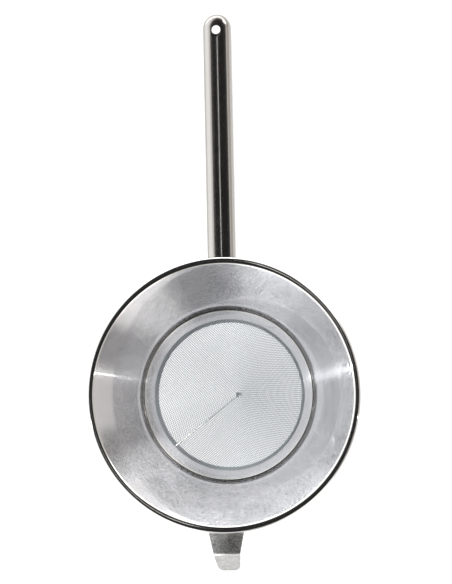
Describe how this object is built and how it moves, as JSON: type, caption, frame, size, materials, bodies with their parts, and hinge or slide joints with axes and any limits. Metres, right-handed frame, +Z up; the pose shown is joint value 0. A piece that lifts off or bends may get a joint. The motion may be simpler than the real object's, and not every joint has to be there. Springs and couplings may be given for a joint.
{
  "type": "chinois strainer",
  "caption": "Conical fine strainer with a steel collar and rolled rim, a woven gauze cone held by a clamp band, a long hollow handle with a hanging hole and a rest hook.",
  "frame": {"origin": "centre of the mouth, in the plane of the top of the rolled rim", "axes": "+Z up out of the mouth along the cone's axis, +Y along the handle towards its hanging hole, +X to the right seen from above with the handle pointing away"},
  "size_m": [0.2, 0.4087, 0.1065],
  "materials": {
    "satin_collar": "stainless sheet, satin inside with fine turned lines, polished rim",
    "satin_band": "stainless sheet, satin with fine turned lines",
    "drawn_wire": "bright drawn steel wire",
    "gauze_wire": "fine plain-woven stainless gauze",
    "solder": "bright silver solder, wiped smooth",
    "handle_steel": "polished pressed stainless sheet with faint long grinding lines",
    "mill_plate": "stainless plate with a dull mill finish",
    "weld_bead": "weld bead, wire-brushed",
    "brushed_strip": "stainless strip, brushed along its length"
  },
  "bodies": {
    "root": {"collar": "satin_collar", "rim_wire": "drawn_wire", "clamp_band": "satin_band", "gauze_cone": "gauze_wire", "gauze_seam": "solder", "gauze_tip": "solder", "handle": "handle_steel", "handle_saddle": "mill_plate", "handle_weld": "weld_bead", "rest_hook": "brushed_strip"}
  },
  "joints": []
}
